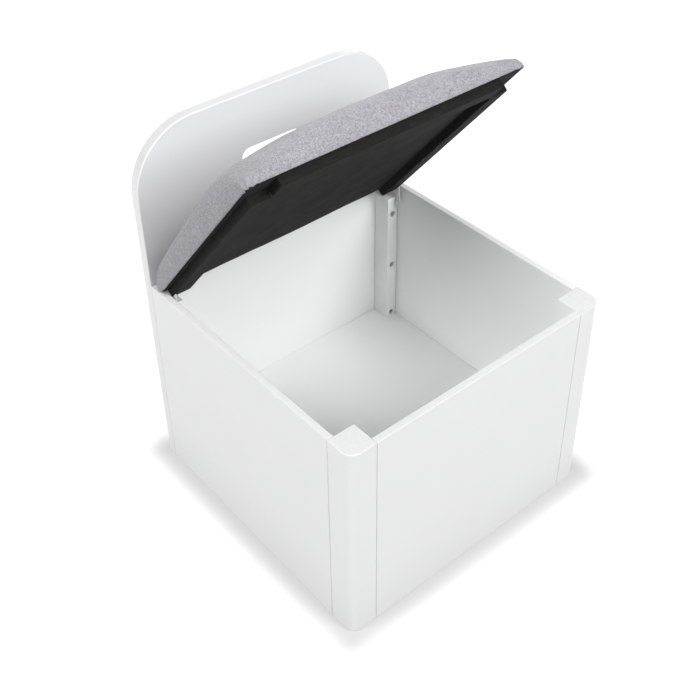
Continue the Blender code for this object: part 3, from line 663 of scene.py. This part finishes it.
def inflate(piece, pinned):
    """Cloth blown up over its foam for a few frames. No point moves further than CLOTH_REACH."""
    start = coordinates(piece.data)
    group = piece.vertex_groups.new(name="pinned")
    group.add([int(i) for i in pinned], 1.0, "REPLACE")
    modifier = piece.modifiers.new("cloth", "CLOTH")
    settings = modifier.settings
    settings.quality = 6
    settings.mass = 0.3
    settings.tension_stiffness = 25.0
    settings.compression_stiffness = 25.0
    settings.shear_stiffness = 12.0
    settings.bending_stiffness = 0.8
    settings.use_pressure = True
    settings.uniform_pressure_force = CLOTH_PRESSURE
    settings.vertex_group_mass = "pinned"
    settings.pin_stiffness = 1.0
    settings.effector_weights.gravity = 0.0
    modifier.collision_settings.use_collision = False
    modifier.collision_settings.use_self_collision = False
    modifier.point_cache.frame_start = 1
    modifier.point_cache.frame_end = CLOTH_FRAMES
    scene = bpy.context.scene
    for number in range(1, CLOTH_FRAMES + 1):
        scene.frame_set(number)
        graph = bpy.context.evaluated_depsgraph_get()
        moved = coordinates(piece.evaluated_get(graph).to_mesh())
    piece.modifiers.remove(modifier)
    scene.frame_set(1)
    shift = even_out(piece.data, moved - start, pinned)
    size = np.linalg.norm(shift, axis=1)
    size_kept = CLOTH_REACH * np.tanh(size / CLOTH_REACH)
    shift *= (size_kept / np.maximum(size, 1e-9))[:, None]
    set_coordinates(piece.data, start + shift)


def corner_distance(hem):
    """For each place round the hem, the distance along it to the nearest corner, and which."""
    steps = np.linalg.norm(np.roll(hem, -1, axis=0) - hem, axis=1)
    along = np.concatenate([[0.0], np.cumsum(steps)[:-1]])
    total = steps.sum()
    side, front = STRAIGHT_Y + CORNER_STEPS, STRAIGHT_X + CORNER_STEPS
    distance = np.full(len(hem), 1.0)
    corner = np.zeros(len(hem), int)
    for number, index in enumerate((0, side, side + front, 2 * side + front)):
        away = (along - along[index] + total / 2) % total - total / 2
        nearer = np.abs(away) < np.abs(distance)
        distance[nearer] = away[nearer]
        corner[nearer] = number
    return distance, corner


def corner_pleats(points, ring_number):
    """Small folds where the cloth is gathered round each corner, deepest at the hem."""
    rings = ring_number < ring_number.max()
    distance, corner = corner_distance(points[ring_number == len(HEM_FOLD), :2])
    turns = rings.sum() // len(distance)
    distance, corner = np.tile(distance, turns), np.tile(corner, turns)
    phase = np.array(PLEAT_PHASES)[corner]
    height = np.maximum(points[rings, 2] - HEM_BOTTOM, 0.0)
    envelope = np.exp(-(distance / PLEAT_REACH) ** 2)
    fade = 1 - smooth_step(height, *PLEAT_FADE)
    spacing = PLEAT_SPACING * (1 + PLEAT_WANDER * np.sin(distance * PLEAT_WANDER_RATE + phase))
    wave = np.cos(2 * pi * distance / spacing + phase)
    groove = -np.maximum(-wave, 0.0) ** PLEAT_SHARPNESS + PLEAT_RIDGE * np.maximum(wave, 0.0)
    out = points[rings, :2] - np.array([0.0, (HEM_FRONT + HEM_REAR) / 2])
    half = np.array([HEM_HALF_WIDTH, (HEM_REAR - HEM_FRONT) / 2])
    out = unit(out * smooth_step(np.abs(out) / half, *PLEAT_FLANK))
    amount = PLEAT_DEPTH * groove * envelope * fade
    points = points.copy()
    points[rings, :2] += out * amount[:, None]
    points[rings, 2] += HEM_WAVE * wave * envelope * (height < HEM_WAVE_HEIGHT)
    return points


def soft_unevenness(points):
    """Slow dents and rises of hand-upholstered foam, none at the hem."""
    fade = smooth_step(points[:, 2] - HEM_BOTTOM, *DENT_FADE)
    shift = np.array([
        DENT_DEPTH * noise.noise(p * DENT_RATE)
        + RIPPLE_DEPTH * noise.noise(p * RIPPLE_RATE + RIPPLE_SHIFT)
        for p in map(Vector, points)
    ])
    out = points - np.array([0.0, (HEM_FRONT + HEM_REAR) / 2, HEM_BOTTOM])
    out[:, 2] *= DENT_UPWARD
    return points + unit(out) * (shift * fade)[:, None]


def hold_off_box(points):
    """Keeps the open lid's cushion just off the backrest and the rim, as if pressed on them."""
    world = carried(points, OPEN)
    start = back_face - BACK_GAP - BACK_GIVE
    pressed = start + BACK_GIVE * np.tanh((world[:, 1] - start) / BACK_GIVE)
    world[:, 1] = np.where(world[:, 1] > start, pressed, world[:, 1])
    start = rim_height + RIM_GAP + RIM_GIVE
    resting = start - RIM_GIVE + RIM_GIVE * np.exp((world[:, 2] - start) / RIM_GIVE)
    over_rim = smooth_step(np.abs(world[:, 0]), *(panel_face - inside for inside in RIM_EDGE))
    world[:, 2] += (resting - world[:, 2]) * over_rim * (world[:, 2] < start)
    return carried(world, SHUT)


cushion, cushion_ring = make_cushion()
inflate(cushion, np.flatnonzero(cushion_ring <= len(HEM_FOLD)))
shape = corner_pleats(soft_unevenness(coordinates(cushion.data)), cushion_ring)
set_coordinates(cushion.data, hold_off_box(shape))
subdivision = cushion.modifiers.new("smooth cloth", "SUBSURF")
subdivision.levels = subdivision.render_levels = 1
apply_modifiers(cushion)
open_out(cushion)
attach(cushion, "lid")
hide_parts("lid_cover", "lid_foam")

# ---------------------------------------------------------------- the black lining under the lid

LINING_LIFT, LINING_UNDER_RAIL = 0.0001, 0.0006  # over the hem, and below the rails' wood
LINING_TOP = HEM_BOTTOM + LINING_LIFT
LINING_EDGE = 0.0016                 # from the hem line to the lining's edge
LINING_SLACK = 0.0009                # the cloth's distance from a rail's sides
LINING_WALL = 0.0007                 # plan width of the cloth's steep parts
LINING_ROUND = 0.0016                # rounding of the cloth over a rail's lower edge
LINING_THICKNESS = 0.0003
RAIL_DROP = LINING_TOP - side_rail_low[2] + LINING_UNDER_RAIL
GRID_STEP, WALL_CLEAR, LINE_GAP = 0.004, 0.0035, 0.00012
MILLIMETRE = 0.001
# grid lines beside a rail's wall, in millimetres from it into the rail
WALL_LINES = (-2.6, -1.8, -1.6, -1.42, -1.25, -1.08, -0.9, -0.6, -0.2, 0.3, 0.8, 2.0)

SLACK_FADE = (0.002, 0.012)          # distances from a rail between which the slack sets in
SAG, SLOW_SAG, SLOW_SAG_RATE, FAST_SAG, FAST_SAG_RATE = 0.0006, 0.0008, 11.0, 0.0003, 42.0
FOLD_HEIGHT, FOLD_SHARE, FOLD_SHARPNESS, FOLD_ONSET = 0.0005, 0.6, 3.2, 3.0
FOLD_RATE, LONG_FOLD_RATES, LONG_FOLD_LAYER = 150.0, (60.0, 260.0), 3.0
RAIL_RIPPLE, RAIL_RIPPLE_RATE = 0.00018, 60.0

rails = [
    (front_rail_low[0], front_rail_low[1], front_rail_high[0], front_rail_high[1]),
    (side_rail_low[0], side_rail_low[1], side_rail_high[0], side_rail_high[1]),
    (-side_rail_high[0], side_rail_low[1], -side_rail_low[0], side_rail_high[1]),
]


def fine_lines(low, high, walls):
    """Grid lines: even ones, and close ones round each wall."""
    lines = [low, high]
    for wall, outward in walls:
        beside = (wall - offset * MILLIMETRE * outward for offset in WALL_LINES)
        lines += [value for value in beside if low < value < high]
    for value in np.arange(low, high, GRID_STEP):
        if all(abs(value - wall) > WALL_CLEAR for wall, _ in walls):
            lines.append(value)
    lines = sorted(lines)
    kept = [lines[0]]
    for value in lines[1:]:
        if value - kept[-1] > LINE_GAP:
            kept.append(value)
    kept[-1] = high
    return np.array(kept)


def rail_depth(x, y):
    """Signed distance inside the rails' plan, positive inside."""
    best = np.full(x.shape, -1.0)
    for x0, y0, x1, y1 in rails:
        dx = np.minimum(x - x0, x1 - x)
        dy = np.minimum(y - y0, y1 - y)
        inside = np.minimum(dx, dy)
        outside = -np.hypot(np.minimum(dx, 0.0), np.minimum(dy, 0.0))
        best = np.maximum(best, np.where(inside > 0, inside, outside))
    return best


def lining_plan():
    """Grid over the lid's underside, its corners drawn in to the hem's rounding."""
    half = HEM_HALF_WIDTH - LINING_EDGE
    low, high = HEM_FRONT + LINING_EDGE, HEM_REAR - LINING_EDGE
    walls_x = sorted({w for x0, _, x1, _ in rails for w in ((x0, -1), (x1, 1))})
    walls_y = sorted({w for _, y0, _, y1 in rails for w in ((y0, -1), (y1, 1))})
    x, y = np.meshgrid(fine_lines(-half, half, walls_x), fine_lines(low, high, walls_y))
    corner = HEM_CORNER - LINING_EDGE
    middle = (low + high) / 2
    straight_x, straight_y = half - corner, (high - low) / 2 - corner
    cx = np.clip(np.abs(x) - straight_x, 0, corner) / corner
    cy = np.clip(np.abs(y - middle) - straight_y, 0, corner) / corner
    round_x = np.sign(x) * (straight_x + corner * cx * np.sqrt(1 - cy ** 2 / 2))
    round_y = middle + np.sign(y - middle) * (straight_y + corner * cy * np.sqrt(1 - cx ** 2 / 2))
    in_corner = (cx > 0) & (cy > 0)
    return np.where(in_corner, round_x, x), np.where(in_corner, round_y, y)


def make_lining():
    x, y = lining_plan()
    depth = rail_depth(x, y) + LINING_SLACK
    wall = smooth_step(depth, -LINING_WALL, 0.0) * (RAIL_DROP - LINING_ROUND)
    short = np.clip(LINING_ROUND - depth, 0, LINING_ROUND)
    z = LINING_TOP - wall - np.where(depth > 0, np.sqrt(LINING_ROUND ** 2 - short ** 2), 0.0)
    slack = smooth_step(-depth, *SLACK_FADE)
    middle = (np.abs(x) < side_rail_low[0]) & (y > front_rail_high[1])
    notch = (np.abs(x) > front_rail_high[0]) & (y < side_rail_low[1])
    for i, j in np.ndindex(x.shape):
        p = Vector((x[i, j], y[i, j], 0.0))
        if middle[i, j]:
            sag = SAG + SLOW_SAG * noise.noise(p * SLOW_SAG_RATE)
            z[i, j] -= slack[i, j] * (sag + FAST_SAG * noise.noise(p * FAST_SAG_RATE))
        elif notch[i, j]:
            long_fold = (p.x * LONG_FOLD_RATES[0], p.y * LONG_FOLD_RATES[1], LONG_FOLD_LAYER)
            folds = FOLD_SHARE * (noise.noise(p * FOLD_RATE) + noise.noise(Vector(long_fold)))
            onset = min(slack[i, j] * FOLD_ONSET, 1.0)
            z[i, j] -= onset * FOLD_HEIGHT * tanh(FOLD_SHARPNESS * abs(folds))
        if depth[i, j] > LINING_ROUND:
            z[i, j] -= RAIL_RIPPLE * noise.noise(p * RAIL_RIPPLE_RATE)
    rows, columns = x.shape
    faces = []
    for i in range(rows - 1):
        for j in range(columns - 1):
            a = i * columns + j
            faces.append((a, a + columns, a + columns + 1, a + 1))
    points = np.column_stack([x.ravel(), y.ravel(), z.ravel()])
    piece = add_piece("lid.black_lining", points, faces, materials["dust_cloth"])
    thickness = piece.modifiers.new("thickness", "SOLIDIFY")
    thickness.thickness = LINING_THICKNESS
    thickness.offset = -1.0
    apply_modifiers(piece)
    return piece


lining = make_lining()
open_out(lining)
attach(lining, "lid")
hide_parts("lid_dust_cover", "lid_front_rail", "lid_left_rail", "lid_right_rail")

# ---------------------------------------------------------------- floor, light and camera

FLOOR_REACH, FLOOR_STEPS, FLOOR_HEIGHT = 40.0, 8, -0.0004
FLOOR_GREY, FLOOR_GLOW = 0.32, 0.82
PAINTED_SHADOW_FROM, PAINTED_SHADOW_TO, PAINTED_SHADOW_DEPTH = 0.002, 0.045, 0.44       # painted shadow: the glow's dip round the box, by distance from its foot
WALL_STEPS, WALL_RADIUS, WALL_FOOT, WALL_TOP, WALL_GLOW = 96, 39.0, 0.001, 60.0, 0.93
SKY_STRENGTH = 0.3

# name, place, place that it points to, width, height and watts
LIGHTS = (
    ("light.front", (1.1, -4.47, 4.07), (0.0, 0.0, 0.2), 3.5, 3.1, 283.0),
    ("light.left", (-4.25, 0.28, 4.07), (0.0, 0.0, 0.2), 3.5, 3.1, 250.0),
    ("light.rear", (2.7, 4.0, 1.2), (0.0, 0.0, 0.3), 3.0, 2.0, 72.0),
)

CAMERA_PLACE = Vector((-0.6997, -0.8042, 1.1354))
CAMERA_AZIMUTH, CAMERA_ELEVATION, CAMERA_ROLL = 0.67345, 0.63120, -0.02561
CAMERA_LENS, CAMERA_SENSOR = 56.29, 36.0
CAMERA_SHIFT = (0.0270, -0.1364)
CAMERA_CLIP = (0.05, 100.0)


def make_floor():
    """A pale floor that glows a little, so that it is white, with a painted shadow round the box's foot."""
    grid = np.linspace(-FLOOR_REACH, FLOOR_REACH, FLOOR_STEPS + 1)
    points = [(x, y, FLOOR_HEIGHT) for y in grid for x in grid]
    row = FLOOR_STEPS + 1
    corners = (r * row + c for r in range(FLOOR_STEPS) for c in range(FLOOR_STEPS))
    faces = [(a, a + 1, a + row + 1, a + row) for a in corners]
    s = Shader("studio.floor")
    foot = (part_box("right_side_panel")[1][0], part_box("back_panel")[1][1], 1.0)
    # painted shadow: the floor's glow dims with plan distance to the box's foot
    outside = s.vector_math("SUBTRACT", s.vector_math("ABSOLUTE", s.place()), foot)
    outside = s.vector_math("MAXIMUM", outside, (0.0, 0.0, 0.0))
    gap = s.vector_math("LENGTH", outside, output=1)
    shade = s.spread(gap, PAINTED_SHADOW_FROM, PAINTED_SHADOW_TO, PAINTED_SHADOW_DEPTH, 1.0, interpolation_type="SMOOTHSTEP")
    glow_with_painted_shadow = s.mix(shade, grey(0.0), grey(1.0))
    s.finish(Base_Color=grey(FLOOR_GREY), Roughness=0.9, Emission_Color=glow_with_painted_shadow,
             Emission_Strength=FLOOR_GLOW, Specular_IOR_Level=0.1)
    floor = add_piece("studio.floor", points, faces, s.material)
    floor.visible_diffuse = False


def make_backdrop():
    """A round white wall where the floor ends, so that no horizon shows. It gives no light."""
    turns = [2 * pi * i / WALL_STEPS for i in range(WALL_STEPS)]
    points = [(WALL_RADIUS * cos(t), WALL_RADIUS * sin(t), z)
              for z in (WALL_FOOT, WALL_TOP) for t in turns]
    faces = []
    for i in range(WALL_STEPS):
        j = (i + 1) % WALL_STEPS
        faces.append((i, j, WALL_STEPS + j, WALL_STEPS + i))
    s = Shader("studio.backdrop")
    s.finish(Base_Color=grey(0.02), Roughness=1.0, Emission_Color=grey(1.0),
             Emission_Strength=WALL_GLOW)
    wall = add_piece("studio.backdrop", points, faces, s.material)
    wall.visible_diffuse = False
    wall.visible_glossy = False
    wall.visible_shadow = False


def add_area(name, place, target, width, height, power):
    light = bpy.data.lights.new(name, "AREA")
    light.shape = "RECTANGLE"
    light.size, light.size_y = width, height
    light.energy = power
    lamp = bpy.data.objects.new(name, light)
    bpy.context.scene.collection.objects.link(lamp)
    lamp.location = place
    ahead = Vector(target) - Vector(place)
    lamp.rotation_euler = ahead.to_track_quat("-Z", "Y").to_euler()


def make_world():
    world = bpy.data.worlds.new("studio")
    world.use_nodes = True
    background = world.node_tree.nodes["Background"]
    background.inputs["Color"].default_value = grey(1.0)
    background.inputs["Strength"].default_value = SKY_STRENGTH
    bpy.context.scene.world = world


def make_camera():
    az, el, roll = CAMERA_AZIMUTH, CAMERA_ELEVATION, CAMERA_ROLL
    ahead = Vector((sin(az) * cos(el), cos(az) * cos(el), -sin(el)))
    right = Vector((cos(az), -sin(az), 0.0))
    up = right.cross(ahead)
    right, up = right * cos(roll) + up * sin(roll), up * cos(roll) - right * sin(roll)
    data = bpy.data.cameras.new("camera")
    data.lens, data.sensor_width = CAMERA_LENS, CAMERA_SENSOR
    data.shift_x, data.shift_y = CAMERA_SHIFT
    data.clip_start, data.clip_end = CAMERA_CLIP
    camera = bpy.data.objects.new("camera", data)
    bpy.context.scene.collection.objects.link(camera)
    turn = Matrix((right, up, -ahead)).transposed()
    camera.matrix_world = Matrix.Translation(CAMERA_PLACE) @ turn.to_4x4()
    bpy.context.scene.camera = camera


make_floor()
make_backdrop()
make_world()
for light_row in LIGHTS:
    add_area(*light_row)
make_camera()
bpy.context.scene.view_settings.view_transform = "Standard"
